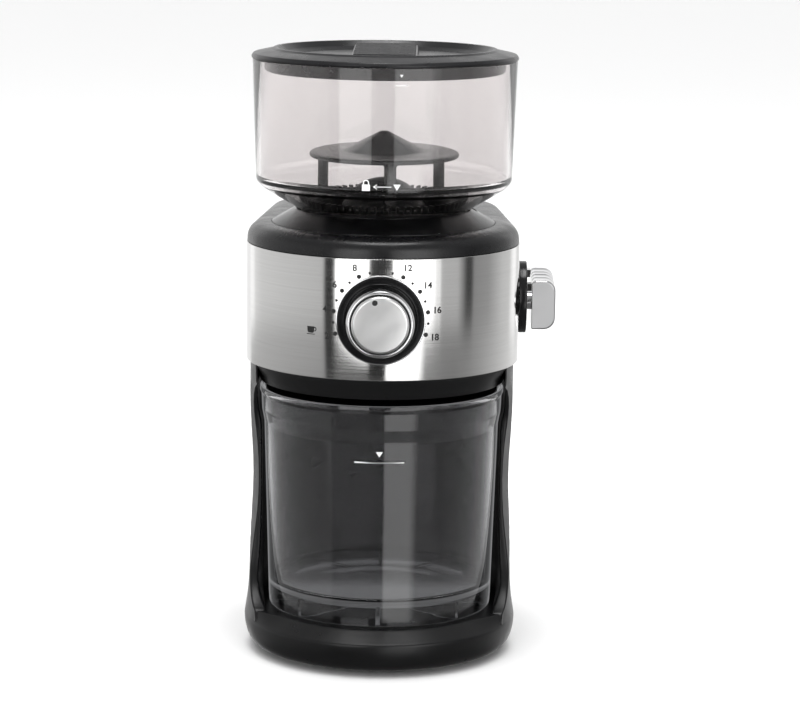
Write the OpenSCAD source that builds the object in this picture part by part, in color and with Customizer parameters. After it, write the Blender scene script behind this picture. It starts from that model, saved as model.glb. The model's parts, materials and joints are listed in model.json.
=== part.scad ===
// Burr coffee grinder: counter-top mill with a lift-off bean hopper, a pull-out
// grounds container, a cups dial with a start button and a side grind knob.
// Frame: +Z up, origin on the burr axis at the plane of the feet, front is -Y,
// the grind knob is on +X. Millimetres.

/* [Body] */
// Radius of the round front of the body
body_r = 61; // [60.8:0.1:61.2]
// Corner radius of the two rear corners
rear_r = 29; // [28:0.5:29.5]
// Distance of the rear corner centres behind the burr axis
rear_y = 70; // [69.5:0.5:72]
// Wall thickness of the moulded housings
wall = 2.2; // [2:0.1:2.4]
// Height of the underside of the steel band
band_z0 = 132.9; // [132.8:0.1:133.2]
// Height of the top of the steel band
band_z1 = 185.7; // [185.6:0.1:185.9]

/* [Hopper] */
// Outer radius of the hopper at its rim
hopper_r = 59; // [58.5:0.1:59.4]
// Height of the hopper rim
hopper_top = 268; // [264:0.5:272]
// Wall thickness of the hopper
hopper_wall = 2.2; // [1.8:0.1:2.4]
// Angle by which the hopper's own front is turned
hopper_turn = 5.7; // [0:0.1:8]

/* [Container] */
// Outer radius of the container rim
cup_r = 54.8; // [54.4:0.1:54.9]
// Wall thickness of the container
cup_wall = 2; // [1.6:0.1:2.4]

/* [Controls] */
// Height of the dial and grind knob axes
dial_z = 159.5; // [159.4:0.05:159.6]
// Outer radius of the dial ring
dial_r = 14.7; // [14:0.1:15.2]
// Outer radius of the start button
button_r = 12.4; // [12:0.1:12.5]
// Length of the grind grip along Y
grip_len = 31.5; // [28:0.5:33]
// Height of the grind grip at its ends
grip_h = 21.7; // [19:0.1:23]

/* [Drive] */
// Outer radius of the burrs
burr_r = 25; // [24:0.5:25]
// Gap between the burrs at the middle setting
burr_gap = 0.6; // [0.55:0.01:0.7]

/* [Hidden] */
$fn = 96;
e = 0.01;

black = [0.035, 0.035, 0.04];
soft_black = [0.07, 0.07, 0.075];
chrome = [0.82, 0.83, 0.85];
steel = [0.68, 0.68, 0.69];
smoke = [0.12, 0.12, 0.13, 0.55];
clear = [0.80, 0.76, 0.77, 0.35];

// ---- body outline: round front, two round rear corners, straight flanks ----
cx = 26;
nf = 60;
nb = 18;
d_c = sqrt(cx * cx + rear_y * rear_y);
pa = atan2(rear_y, cx) - acos((body_r - rear_r) / d_c);
function plan_pts(o) = concat(
  [for (i = [0:nf]) let(a = 180 - pa + i * (180 + 2 * pa) / nf) [(body_r - o) * cos(a), (body_r - o) * sin(a)]],
  [for (i = [0:nb]) let(a = pa + i * (90 - pa) / nb) [cx + (rear_r - o) * cos(a), rear_y + (rear_r - o) * sin(a)]],
  [for (i = [0:nb]) let(a = 90 + i * (90 - pa) / nb) [-cx + (rear_r - o) * cos(a), rear_y + (rear_r - o) * sin(a)]]);
npl = nf + 1 + 2 * (nb + 1);

// upright slab with the body outline, o millimetres inside it
module slab(o, z0, z1) translate([0, 0, z0]) linear_extrude(z1 - z0) polygon(plan_pts(o));

// stack of outlines [[o, z], ...] joined by straight skins
module loft(prof) {
  m = len(prof);
  polyhedron(
    points = [for (p = prof) for (q = plan_pts(p[0])) [q[0], q[1], p[1]]],
    faces = concat(
      [[for (i = [0:npl - 1]) i]],
      [[for (i = [0:npl - 1]) (m - 1) * npl + npl - 1 - i]],
      [for (k = [0:m - 2]) for (i = [0:npl - 1])
        [k * npl + i, (k + 1) * npl + i, (k + 1) * npl + (i + 1) % npl, k * npl + (i + 1) % npl]]));
}
module disc(r, z0, z1) translate([0, 0, z0]) cylinder(r = r, h = z1 - z0);
module tube(ro, ri, z0, z1) difference() { disc(ro, z0, z1); disc(ri, z0 - 1, z1 + 1); }
module box(x0, y0, z0, x1, y1, z1) translate([x0, y0, z0]) cube([x1 - x0, y1 - y0, z1 - z0]);
module rev(pts) rotate_extrude() polygon(pts);
// cylinder along Y from y0 to y1 on the dial axis
module ycyl(r, y0, y1, x = 0, z = dial_z) translate([x, y0, z]) rotate([-90, 0, 0]) cylinder(r = r, h = y1 - y0);
// cylinder along X from x0 to x1 on the grind knob axis
module xcyl(r, x0, x1, y = 0, z = dial_z) translate([x0, y, z]) rotate([0, 90, 0]) cylinder(r = r, h = x1 - x0);

// ---- spur gears ----
function inv_deg(a) = tan(a) * 180 / PI - a;
function gear_pts(n, m, add = 1, ded = 1.25, k = 0.86) =
  let(rp = n * m / 2, rbs = rp * cos(20), ra = rp + add * m, rf = rp - ded * m,
      h0 = 90 / n * k + inv_deg(20),
      rl = rf < rbs ? [rf, rbs + 0.01, rp + 0.1, ra] : [rf, rp, ra],
      hl = [for (r = rl) h0 - (r <= rbs + 0.02 ? 0 : inv_deg(acos(rbs / r)))],
      nn = len(rl))
  [for (i = [0:n - 1]) let(c = i * 360 / n) each concat(
     [for (j = [0:nn - 1]) [rl[j] * cos(c - hl[j]), rl[j] * sin(c - hl[j])]],
     [for (j = [0:nn - 1]) let(q = nn - 1 - j) [rl[q] * cos(c + hl[q]), rl[q] * sin(c + hl[q])]])];
module gear(n, m, z0, z1, phase = 0, add = 1) translate([0, 0, z0]) rotate([0, 0, phase])
  linear_extrude(z1 - z0) polygon(gear_pts(n, m, add));

motor_y = 76.5;
idler_y = 42;
knob_pin_r = 7.8;
foot_at = [[-38, -23], [38, -23], [-36, 72], [36, 72], [0, 0]];
lip_z = 106;
niche_r = 54.2;
base_screw_at = [[-30, -36], [30, -36], [-30, 84], [30, 84]];
post_at = [for (a = [-45, 225]) [38 * cos(a), 38 * sin(a)], [35, 19], [-35, 19]];

// ---- stand and housings ----
module rubber_feet() color([0.05, 0.05, 0.05]) for (p = foot_at) translate([p[0], p[1], 0]) {
  cylinder(r = 6.5, h = 3);
  translate([0, 0, 3]) cylinder(r = 3, h = 1.2);
}

module bottom_plate() color(black) difference() {
  slab(9, 3, 4.8);
  for (p = foot_at) translate([p[0], p[1], 2]) cylinder(r = 3.05, h = 4);
  for (p = base_screw_at) translate([p[0], p[1], 2]) cylinder(r = 1.6, h = 4);
}

module base_shell() color(black) difference() {
  union() {
    loft([[5.7, 2.6], [4.0, 3.0], [2.5, 4.0], [1.4, 5.6], [0.5, 8], [-0.2, 11], [-0.4, 13], [-0.4, 16]]);
    intersection() {
      loft([[-0.4, 16], [1.2, 17.6], [3.8, 20.3], [6.2, 21.8], [7.4, 22]]);
      union() { box(-70, -70, 15, 70, -20, 23); disc(niche_r - 0.1, 15, 23); }
    }
  }
  slab(8.8, 0, 4.8);
  slab(3.2, 4.8, 13.6);
  disc(51, 13.5, 19.8);
  for (x = [-30, -15, 0, 15, 30]) box(x - 1.5, 83, 12, x + 1.5, 92, 17);
}

module base_screws() color(steel) for (p = base_screw_at) translate([p[0], p[1], 0]) {
  translate([0, 0, 1.6]) cylinder(r = 3, h = 1.4);
  translate([0, 0, 3]) cylinder(r = 1.6, h = 8);
}

// the bay for the container: a little wider above lip_z, for the container's lip
module niche() {
  disc(niche_r, 14, 140);
  disc(55.6, lip_z, 140);
  box(-niche_r + 0.2, -80, 22, niche_r - 0.2, 3, 140);
  box(-55.4, -80, lip_z, 55.4, 3, 140);
}
// side view of the bay's mouth: the arms' front edge sweeps forward into the base and the skirt
mouth = [[-80, 22], [-20, 22], [-16.5, 25], [-12.8, 29], [-9.6, 33], [-7, 37.5], [-5.2, 42.5], [-4.2, 48], [-4, 54],
         [-4, 104], [-4.6, 108], [-6.6, 112.5], [-10, 117], [-14.6, 120.8], [-20, 123], [-80, 123]];
module arm_front() {
  translate([-80, 0, 0]) rotate([90, 0, 90]) linear_extrude(160) polygon(mouth);
  for (s = [-1, 1]) translate([s * (58.9 + 0.951 * 200), 8 - 0.309 * 200, 78]) rotate([90, 0, -18 * s])
    cylinder(r = 200, h = 60, center = true);
}

module rear_housing() color(black) difference() {
  intersection() {
    loft([[-0.3, 16], [0.4, 20.6], [1.2, 26.5], [1.5, 32.6], [1.8, 40], [1.8, 126], [1.2, 132.5]]);
    box(-70, -20, 10, 70, 110, 140);
  }
  difference() {
    slab(1.8 + wall, 14, 126);
    disc(57.6, 12, 128);
    box(-70, -80, 12, 70, 6, 128);
  }
  slab(1.8 + wall, 126, 140);
  niche();
  arm_front();
  for (i = [-4:4]) box(i * 6 - 1.2, 93, 84, i * 6 + 1.2, 102, 114);
  ycyl(7, 90, 104, 0, 48);
  rotate([0, 0, -30]) ycyl(1.6, 50, 60, 0, 109);
}

module upper_housing() color(black) difference() {
  union() {
    difference() { slab(1.0, 132.5, band_z1); slab(1.0 + wall, 130, 190); }
    intersection() {
      difference() {
        loft([[6.3, 123.5], [5.6, 124.4], [3.4, 128], [1.6, 131.6], [1.0, 132.5]]);
        slab(8.4, 126, 140);
        slab(5.6, 129, 140);
      }
      box(-70, -70, 120, 70, -20.2, 140);
    }
    difference() { disc(55.2, 123.5, 126); box(-70, -80, 120, 70, -20.2, 130); }
  }
  ycyl(18, -70, -50);
  xcyl(15, 50, 70);
  box(-46, -9.2, 120, -34.4, 9.2, 130);
  disc(7, 120, 130);
  for (p = post_at) translate([p[0], p[1], 120]) cylinder(r = 3.4, h = 8);
}

module steel_band() color(steel) difference() {
  slab(0, band_z0, band_z1);
  slab(1.0, band_z0 - 1, band_z1 + 1);
  ycyl(18, -70, -50);
  xcyl(15, 50, 70);
}

module top_cover() color(soft_black) difference() {
  union() {
    difference() {
      loft([[0.2, 185.9], [0.3, 187.5], [1.1, 189.7], [2.6, 191.6], [4.8, 193.2], [7.5, 194.1], [11.5, 194.5]]);
      loft([[2.4, 185], [2.5, 187.2], [4.2, 190], [7, 191.6], [11.5, 192.3]]);
      disc(50.3, 180, 200);
    }
    tube(52.6, 46, 190, 192);
    for (a = [60, 180, 300]) rotate([0, 0, a]) translate([48, 0, 187.5]) cylinder(r = 2.6, h = 2.6);
  }
  for (a = [60, 180, 300]) rotate([0, 0, a]) translate([48, 0, 180]) cylinder(r = 1.4, h = 20);
}

module collar_ring() color(soft_black) difference() {
  rev([[38.9, 192], [50.2, 192], [50.2, 194.5], [49.6, 195.0], [39.7, 200.4], [38.9, 200.5]]);
  for (a = [0, 120, 240]) rotate([0, 0, a + hopper_turn]) box(37, -4.6, 190, 41.7, 4.6, 202);
  for (a = [60, 180, 300]) rotate([0, 0, a]) translate([48, 0, 180]) cylinder(r = 1.4, h = 15);
}

module retainer_plate() color(steel) difference() {
  tube(51.6, 40, 186.7, 187.5);
  for (a = [60, 180, 300]) rotate([0, 0, a]) translate([48, 0, 180]) cylinder(r = 1.4, h = 20);
  rotate([0, 0, 150]) translate([43.6, 0, 180]) cylinder(r = 1.6, h = 20);
}

module cover_screws() color(steel) for (a = [60, 180, 300]) rotate([0, 0, a]) translate([48, 0, 0]) {
  translate([0, 0, 185.2]) cylinder(r = 2.6, h = 1.5);
  translate([0, 0, 186.7]) cylinder(r = 1.4, h = 8.2);
}

module cord_gland() color(black) difference() {
  union() { ycyl(6.95, 91, 98, 0, 48); ycyl(9.5, 97.2, 99.6, 0, 48); ycyl(8.6, 90, 93, 0, 48); }
  ycyl(3.6, 86, 104, 0, 48);
}

// ---- drive ----
module gear_plate() color(steel) difference() {
  union() {
    disc(34, 126, 128);
    box(-24, 0, 126, 24, motor_y, 128);
    translate([0, motor_y, 126]) cylinder(r = 18, h = 2);
    box(20, -9, 126, 50, 9, 128);
    for (p = post_at) translate([p[0], p[1], 126]) cylinder(r = 5, h = 2);
    for (s = [-1, 1]) box(s > 0 ? 20 : -35, 14, 126, s > 0 ? 35 : -20, 24, 128);
  }
  disc(5.5, 120, 130);
  translate([0, idler_y, 120]) cylinder(r = 3, h = 10);
  translate([0, motor_y, 120]) cylinder(r = 4.5, h = 10);
  for (p = post_at) translate([p[0], p[1], 120]) cylinder(r = 1.6, h = 10);
  for (x = [-11, 11]) translate([x, motor_y, 120]) cylinder(r = 1.5, h = 10);
}

module at_motor() translate([0, motor_y, 0]) children();

module motor_can() color([0.5, 0.5, 0.52]) at_motor() difference() {
  union() { disc(17.9, 72, 126); }
  disc(16.6, 70, 124.4);
  disc(4.2, 120, 130);
  for (x = [-11, 11]) translate([x, 0, 120]) cylinder(r = 1.3, h = 10);
}
module motor_magnets() color([0.2, 0.2, 0.2]) at_motor() difference() {
  tube(16.6, 13.6, 82, 116);
  for (s = [-1, 1]) box(-20, s > 0 ? 9 : -20, 80, 20, s > 0 ? 20 : -9, 118);
}
module motor_end_cap() color([0.15, 0.15, 0.16]) at_motor() difference() {
  union() { disc(17.9, 69.5, 72); disc(7, 67, 69.5); tube(16.6, 14, 72, 75); }
  disc(4.2, 60, 80);
  for (s = [-1, 1]) box(s * 11 - 1.2, -3.5, 60, s * 11 + 1.2, 3.5, 80);
}
module motor_bushes() color([0.72, 0.55, 0.3]) at_motor() { tube(4.2, 2.05, 67, 72); tube(4.2, 2.05, 121.5, 126); }
module motor_screws() color(steel) for (x = [-11, 11]) translate([x, motor_y, 0]) {
  disc(1.3, 121.5, 128);
  disc(2.6, 128, 129.4);
}
module motor_rotor() color([0.6, 0.3, 0.15]) at_motor() difference() {
  union() {
    difference() { disc(12.9, 84, 114); for (a = [0:72:359]) rotate([0, 0, a]) box(5.5, -1.3, 83, 14, 1.3, 115); }
    disc(5.2, 76, 84);
    disc(5.2, 114, 119);
  }
  disc(2, 60, 130);
}
module motor_shaft() color(steel) at_motor() disc(2, 66.5, 137.5);
module motor_pinion() color([0.72, 0.55, 0.3]) at_motor() difference() {
  gear(13, 1, 130.2, 137.5, 270);
  disc(2, 120, 140);
}
module idler_pin() color(steel) translate([0, idler_y, 0]) { disc(3, 126, 147.4); disc(5.5, 146.9, 147.9); disc(6, 128, 128.6); }
module idler_gear() color([0.85, 0.84, 0.8]) translate([0, idler_y, 0]) difference() {
  union() {
    gear(56, 1, 130.6, 136.6, 90 + 180 / 56, 0.8);
    gear(20, 1, 136.6, 146.4, 270);
    disc(6, 129.2, 130.6);
  }
  disc(3.05, 120, 150);
  difference() { disc(24, 133.6, 136.7); disc(13, 130, 140); }
}
module burr_shaft() color(steel) { disc(3.5, 124.2, 181); disc(6.5, 129, 130.4); }
module shaft_bushes() color([0.72, 0.55, 0.3]) { tube(5.5, 3.55, 124.5, 128.5); tube(6.2, 3.55, 146.6, 151); }
module drive_gear() color([0.85, 0.84, 0.8]) difference() {
  union() { gear(64, 1, 138.4, 144.6, 90 + 180 / 64); disc(9, 136.4, 146); }
  disc(3.5, 120, 150);
  difference() { disc(28, 141.6, 145); disc(12, 130, 150); }
}
module grind_chamber() color([0.16, 0.16, 0.17]) difference() {
  union() {
    disc(31.5, 148, 176.8);
    disc(33, 169.5, 176.5);
    disc(9.5, 146.6, 148);
    for (p = post_at) {
      translate([p[0], p[1], 128]) cylinder(r = 3.2, h = 23);
      rotate([0, 0, atan2(p[1], p[0])]) box(26, -2.5, 148, 38, 2.5, 151);
    }
  }
  disc(28, 151, 180);
  disc(6.2, 140, 152);
  for (p = post_at) translate([p[0], p[1], 120]) cylinder(r = 1.3, h = 20);
  box(-36, -8, 152, -20, 8, 163.5);
  for (s = [-1, 1]) box(-4, s > 0 ? 26 : -31.6, 170.4, 4, s > 0 ? 31.6 : -26, 180);
}
module chamber_screws() color(steel) for (p = post_at) translate([p[0], p[1], 0]) {
  disc(1.3, 126, 139);
  disc(2.8, 124.4, 126);
}
module impeller() color([0.78, 0.77, 0.74]) difference() {
  union() {
    disc(22, 151.8, 174);
    for (a = [0:60:359]) rotate([0, 0, a]) box(20, -1.2, 151.8, 27.2, 1.2, 162);
  }
  disc(3.5, 140, 180);
}
module burr_teeth(z0, z1, n, w, ri, ro) for (i = [0:n - 1]) rotate([0, 0, i * 360 / n]) rotate([0, 0, 0]) box(ri, -w / 2, z0, ro, w / 2, z1);
bz = 179.3;
module lower_burr() color(steel) difference() {
  rev([[8, 174], [burr_r, 174], [burr_r, bz], [20, bz], [9, 176.6], [8, 176.6]]);
  burr_teeth(177.4, bz + 1, 18, 1.1, 12, 26);
}
module burr_nut() color(steel) difference() {
  union() { disc(7.9, 174, 177.4); translate([0, 0, 177.4]) cylinder(r = 7, h = 5, $fn = 6); }
  disc(3.5, 170, 190);
}
module upper_burr() color(steel) difference() {
  rev([[11.4, bz + burr_gap + 3.2], [20, bz + burr_gap], [burr_r, bz + burr_gap], [burr_r, 185.2], [11.4, 185.2]]);
  rotate([0, 0, 5]) burr_teeth(bz - 1, bz + burr_gap + 1.7, 18, 1.1, 12, 26);
}
module burr_carrier() color([0.16, 0.16, 0.17]) {
  rev([[burr_r, 178.6], [27.4, 178.6], [27.8, 177.8], [33, 177.8], [33, 187.2], [35.4, 187.8], [35.4, 196], [34, 196],
       [12.4, 188.4], [11.4, 187], [11.4, 185.2], [burr_r, 185.2]]);
  for (s = [-1, 1]) box(-3.8, s > 0 ? 28.3 : -31.3, 171.4, 3.8, s > 0 ? 31.3 : -28.3, 178);
}
module adjust_ring() color([0.85, 0.84, 0.8]) {
  tube(41.5, 33.05, 168.7, 186.5);
  for (i = [-7:7]) rotate([0, 0, i * 6 + 3]) translate([36.4, 0, 0]) rotate([90, 0, 90]) linear_extrude(5)
    polygon([[-1.25, 168.8], [-0.45, 166.3], [0.45, 166.3], [1.25, 168.8]]);
}
module shaft_bracket() color([0.16, 0.16, 0.17]) difference() {
  union() { box(43, -7, 128, 47, 7, 161.5); xcyl(7, 43, 47); box(43, -9, 128, 49.5, 9, 130.5); }
  xcyl(4.05, 30, 60);
}
module adjust_shaft() color(steel) {
  xcyl(4, 41.4, 66.5);
  xcyl(5.4, 41.5, 42.6);
  translate([36.4, 0, dial_z]) rotate([90, 0, 90]) linear_extrude(5) polygon(gear_pts(12, 1.3, 0.9, 1.1, 0.8));
}
module knob_disc() color(black) difference() {
  union() { difference() { xcyl(16, 57, 64.2); slab(0, 130, 190); } xcyl(14.9, 57.5, 62); }
  xcyl(4.3, 50, 70);
}
// bow-tie outline of the grip seen along X, pinched at mid length
grip_pts = let(l = grip_len / 2, h = grip_h / 2, q = 1.6)
  concat([for (i = [0:12]) let(t = -1 + i / 6) [t * (l - q), -(h - 4.2 * (cos(t * 90)))]],
         [[l, -h + 1.6], [l, h - 1.6]],
         [for (i = [0:12]) let(t = 1 - i / 6) [t * (l - q), h - 4.2 * (cos(t * 90))]],
         [[-l, h - 1.6], [-l, -h + 1.6]]);
module grind_knob() color(chrome) difference() {
  union() {
    translate([66.5, 0, dial_z]) rotate([90, 0, 90]) linear_extrude(11.5) polygon(grip_pts);
    xcyl(9, 64.5, 66.5);
  }
  xcyl(4, 60, 66.5);
}
module grounds_chute() color([0.16, 0.16, 0.17]) difference() {
  union() { box(-45.8, -9, 123.6, -34.6, 9, 165.4); box(-36, -9, 150, -28, 9, 165.4); }
  box(-44.2, -7.4, 120, -36.2, 7.4, 163.8);
  box(-44.2, -7.4, 151.6, -20, 7.4, 163.8);
  disc(31.5, 140, 180);
}

// ---- front controls ----
module dial_bezel() color(black) difference() {
  union() {
    difference() { ycyl(19, -62.8, -56); slab(0, 120, 200); }
    ycyl(17.9, -62, -54);
  }
  ycyl(15.6, -64, -61.6);
  ycyl(8.3, -70, -50);
}
module dial_knob() color(chrome) difference() {
  union() { ycyl(dial_r, -73.6, -62.2); ycyl(8, -63, -51); }
  ycyl(12.7, -74, -64);
  ycyl(3.6, -80, -50);
}
module start_button() color(chrome) {
  ycyl(button_r, -75.9, -68.5);
  ycyl(3.5, -69, -52.6);
}
sp_n = 12;
sp_turns = 4;
sp_y0 = -68.1;
sp_y1 = -64.4;
module button_spring() color(steel) {
  m = sp_n * sp_turns;
  pts = [for (k = [0:m]) let(a = k * 360 / sp_n, y = sp_y0 + (sp_y1 - sp_y0) * k / m)
    for (j = [0:5]) let(b = j * 60, r = 5.6 + 0.35 * cos(b)) [r * cos(a), y + 0.35 * sin(b), dial_z + r * sin(a)]];
  polyhedron(points = pts, faces = concat([[for (j = [0:5]) 5 - j]], [[for (j = [0:5]) m * 6 + j]],
    [for (k = [0:m - 1]) for (j = [0:5]) [k * 6 + j, k * 6 + (j + 1) % 6, (k + 1) * 6 + (j + 1) % 6, (k + 1) * 6 + j]]));
}
module rotary_selector() color([0.1, 0.1, 0.12]) difference() {
  union() { ycyl(13, -53.8, -47.2); }
  ycyl(8.05, -60, -40);
}
module control_board() color([0.1, 0.35, 0.2]) {
  box(-24, -47.2, 140, 24, -45.6, 178);
  box(-20, -45.6, 144, -8, -41.5, 154);
  box(8, -45.6, 144, 18, -42.5, 150);
}
module start_switch() color([0.1, 0.1, 0.1]) { box(-3.1, -49.9, dial_z - 3.1, 3.1, -47.2, dial_z + 3.1); }
module power_board() color([0.1, 0.35, 0.2]) {
  box(-27, 64, 26, 27, 65.6, 62);
  box(-24, 65.6, 30, -6, 80, 48);
  for (x = [6, 20]) translate([x, 65.6, 38]) rotate([-90, 0, 0]) cylinder(r = 6, h = 18);
}
module hopper_switch() color([0.1, 0.1, 0.1]) rotate([0, 0, 150]) { box(42.4, -10, 175, 48.8, 10, 185.4); translate([43.6, 0, 0]) disc(1.5, 185, 187.5); }
module container_switch() color([0.1, 0.1, 0.1]) rotate([0, 0, -30]) { box(-10, 58.2, 104, 10, 64.6, 114); ycyl(1.5, 55, 59, 0, 109); }

// ---- hopper ----
module bayonet_ring() color([0.16, 0.16, 0.17]) difference() {
  tube(45, 38.9, 187.6, 191.4);
  for (a = [0, 120, 240]) rotate([0, 0, a + hopper_turn]) box(37, -4.4, 180, 41.7, 4.4, 195);
}
hw = hopper_wall;
module hopper() color(clear) {
  rev([[38.4, 188], [38.4, 200.6], [39.3, 201.2], [41.9, 203.0], [44.8, 204.8], [47.5, 206.6], [50.8, 208.4],
       [54.3, 210.2], [56.0, 211.6], [56.8, 213.6], [hopper_r, hopper_top - 0.4], [hopper_r - 0.5, hopper_top],
       [hopper_r - hw, hopper_top], [56.8 - hw, 214.4], [52.9, 212.0], [49.4, 210.2], [46.2, 208.5], [43.6, 206.8],
       [40.7, 205.0], [38.0, 203.2], [36.4, 201.4], [36.4, 188]]);
  for (a = [0, 120, 240]) rotate([0, 0, a + hopper_turn]) intersection() {
    tube(41.3, 38.2, 188.3, 191.1);
    box(37, -4.2, 188, 42, 4.2, 192);
  }
}
module hopper_insert() color(black)
  rev([[28.5, 197.6], [36.4, 197.6], [36.4, 201.4], [37.4, 202.6], [36.6, 203.4], [28.5, 203.4]]);
module hopper_hub() color(black) {
  intersection() { translate([0, 0, 192.6]) sphere(r = 21.4); disc(18.5, 197.6, 215); }
  for (a = [30, 150, 270]) rotate([0, 0, a + hopper_turn + 60]) intersection() { box(17, -2.5, 197.6, 29.5, 2.5, 201); disc(28.45, 190, 210); }
}
module bean_guard() color(black) {
  rev([[0, 222.6], [32.6, 222.6], [33.4, 223.5], [32.8, 224.4], [18.5, 224.9], [16.5, 225.8], [2.4, 232.8], [0, 233.2]]);
  for (a = [30, 150, 270]) rotate([0, 0, a + hopper_turn]) box(28.8, -2.6, 203.4, 32, 2.6, 222.7);
}
module hopper_lid() color(black) {
  rev([[0, 266.4], [42.4, 266.4], [46, 268], [hopper_r + 0.1, hopper_top], [hopper_r + 0.2, 269.4], [58.2, 271.0], [56, 271.8],
       [53, 271.8], [46, 270.2], [42.4, 268.6], [0, 268.6]]);
  tube(53.4, 51.6, 263.2, 268.4);
  difference() {
    box(-14.5, -40, 268.5, 14.5, 40, 271.9);
    for (x = [-11, 11]) box(x - 0.5, -50, 271.3, x + 0.5, 50, 273);
  }
}

// ---- grounds container ----
module container() color(smoke) {
  rev([[0, 29.5], [48.4, 29.5], [48.4, 22], [50.2, 22], [50.4, 25], [52.7, 104.5], [53.9, 110], [54.2, 116.5], [cup_r, 118.8],
       [cup_r, 120.5], [53.2, 120.5], [52.6, 118.4], [52.4, 116.5], [52.1, 110.2], [50.8, 105], [48.9, 33.4], [47.6, 31.5], [0, 31.5]]);
  for (a = [0:45:359]) rotate([0, 0, a]) box(8, -0.8, 23, 49.3, 0.8, 30.4);
}
module container_lid() color(black) difference() {
  union() { disc(52.2, 117.6, 120.0); tube(49.9, 48.6, 102.5, 117.6); }
  box(-48, -11, 110, -32, 11, 122);
}

rubber_feet();
bottom_plate();
base_shell();
base_screws();
rear_housing();
upper_housing();
steel_band();
top_cover();
collar_ring();
retainer_plate();
cover_screws();
cord_gland();
gear_plate();
motor_can();
motor_magnets();
motor_end_cap();
motor_bushes();
motor_screws();
motor_rotor();
motor_shaft();
motor_pinion();
idler_pin();
idler_gear();
burr_shaft();
shaft_bushes();
drive_gear();
grind_chamber();
chamber_screws();
impeller();
lower_burr();
burr_nut();
upper_burr();
burr_carrier();
adjust_ring();
shaft_bracket();
adjust_shaft();
knob_disc();
grind_knob();
grounds_chute();
dial_bezel();
dial_knob();
start_button();
button_spring();
rotary_selector();
control_board();
start_switch();
power_board();
hopper_switch();
container_switch();
bayonet_ring();
hopper();
hopper_insert();
hopper_hub();
bean_guard();
hopper_lid();
container();
container_lid();
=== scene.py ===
import bpy, bmesh, json, math
from math import pi, sin, cos, radians, atan2, sqrt, acos, hypot
from mathutils import Vector, Matrix


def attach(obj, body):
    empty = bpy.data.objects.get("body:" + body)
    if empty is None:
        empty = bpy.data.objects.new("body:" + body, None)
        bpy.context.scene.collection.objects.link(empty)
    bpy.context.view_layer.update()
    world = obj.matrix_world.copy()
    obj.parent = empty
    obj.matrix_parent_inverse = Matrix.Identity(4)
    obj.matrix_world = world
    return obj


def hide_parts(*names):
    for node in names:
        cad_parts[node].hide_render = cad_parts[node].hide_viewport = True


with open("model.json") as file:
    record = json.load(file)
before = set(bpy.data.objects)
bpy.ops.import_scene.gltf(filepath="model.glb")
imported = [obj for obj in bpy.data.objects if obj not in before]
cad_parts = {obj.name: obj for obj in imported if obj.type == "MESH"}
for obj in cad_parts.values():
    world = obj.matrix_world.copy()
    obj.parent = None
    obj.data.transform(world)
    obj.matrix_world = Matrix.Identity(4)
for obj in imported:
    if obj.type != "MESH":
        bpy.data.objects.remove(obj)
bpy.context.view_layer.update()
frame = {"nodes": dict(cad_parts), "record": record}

MM = 0.001
scene = bpy.context.scene
COL = scene.collection
nodes = frame["nodes"]

# ------------------------------------------------------------------ camera
cam_d = bpy.data.cameras.new("cam")
cam = bpy.data.objects.new("cam", cam_d)
COL.objects.link(cam)
CAM_AZ, CAM_PITCH, CAM_ROLL = radians(0.7), radians(10.0), 0.0113
cam.location = (1.306 * sin(CAM_AZ), -1.306 * cos(CAM_AZ), 0.3637)
fwd = Vector((-sin(CAM_AZ) * cos(CAM_PITCH), cos(CAM_AZ) * cos(CAM_PITCH), -sin(CAM_PITCH)))
right = Vector((cos(CAM_AZ), sin(CAM_AZ), 0))
up = right.cross(fwd)
x_ax = right * cos(CAM_ROLL) + up * sin(CAM_ROLL)
y_ax = up * cos(CAM_ROLL) - right * sin(CAM_ROLL)
cam.matrix_world = Matrix.Translation(cam.location) @ Matrix((x_ax, y_ax, -fwd)).transposed().to_4x4()
cam_d.sensor_width = 36.0
cam_d.lens = 36.0 * 2944.0 / 800.0
cam_d.shift_x = 0.02255
cam_d.clip_start = 0.05
cam_d.clip_end = 20
scene.camera = cam
scene.view_settings.view_transform = "Standard"
scene.view_settings.look = "None"
scene.view_settings.exposure = 0.0
scene.view_settings.gamma = 1.0

# ------------------------------------------------------------------ materials
def nt_new(name):
    m = bpy.data.materials.new(name)
    m.use_nodes = True
    t = m.node_tree
    t.nodes.clear()
    out = t.nodes.new("ShaderNodeOutputMaterial")
    b = t.nodes.new("ShaderNodeBsdfPrincipled")
    t.links.new(b.outputs[0], out.inputs[0])
    return m, t, b

def coords(t, scale=(1, 1, 1), kind="Object"):
    tc = t.nodes.new("ShaderNodeTexCoord")
    mp = t.nodes.new("ShaderNodeMapping")
    mp.inputs["Scale"].default_value = scale
    t.links.new(tc.outputs[kind], mp.inputs["Vector"])
    return mp.outputs[0]

def noise(t, vec, scale, detail=3.0, rough=0.5):
    n = t.nodes.new("ShaderNodeTexNoise")
    n.inputs["Scale"].default_value = scale
    n.inputs["Detail"].default_value = detail
    n.inputs["Roughness"].default_value = rough
    t.links.new(vec, n.inputs["Vector"])
    return n.outputs["Fac"]

def ramp(t, fac, stops):
    r = t.nodes.new("ShaderNodeValToRGB")
    el = r.color_ramp.elements
    while len(el) > 1:
        el.remove(el[-1])
    el[0].position, el[0].color = stops[0][0], (*stops[0][1], 1)
    for p, c in stops[1:]:
        e = el.new(p)
        e.color = (*c, 1)
    t.links.new(fac, r.inputs[0])
    return r.outputs[0]

def remap(t, fac, lo, hi, f0=0.3, f1=0.7):
    n = t.nodes.new("ShaderNodeMapRange")
    n.inputs["From Min"].default_value = f0
    n.inputs["From Max"].default_value = f1
    n.inputs["To Min"].default_value = lo
    n.inputs["To Max"].default_value = hi
    t.links.new(fac, n.inputs["Value"])
    return n.outputs[0]

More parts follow.
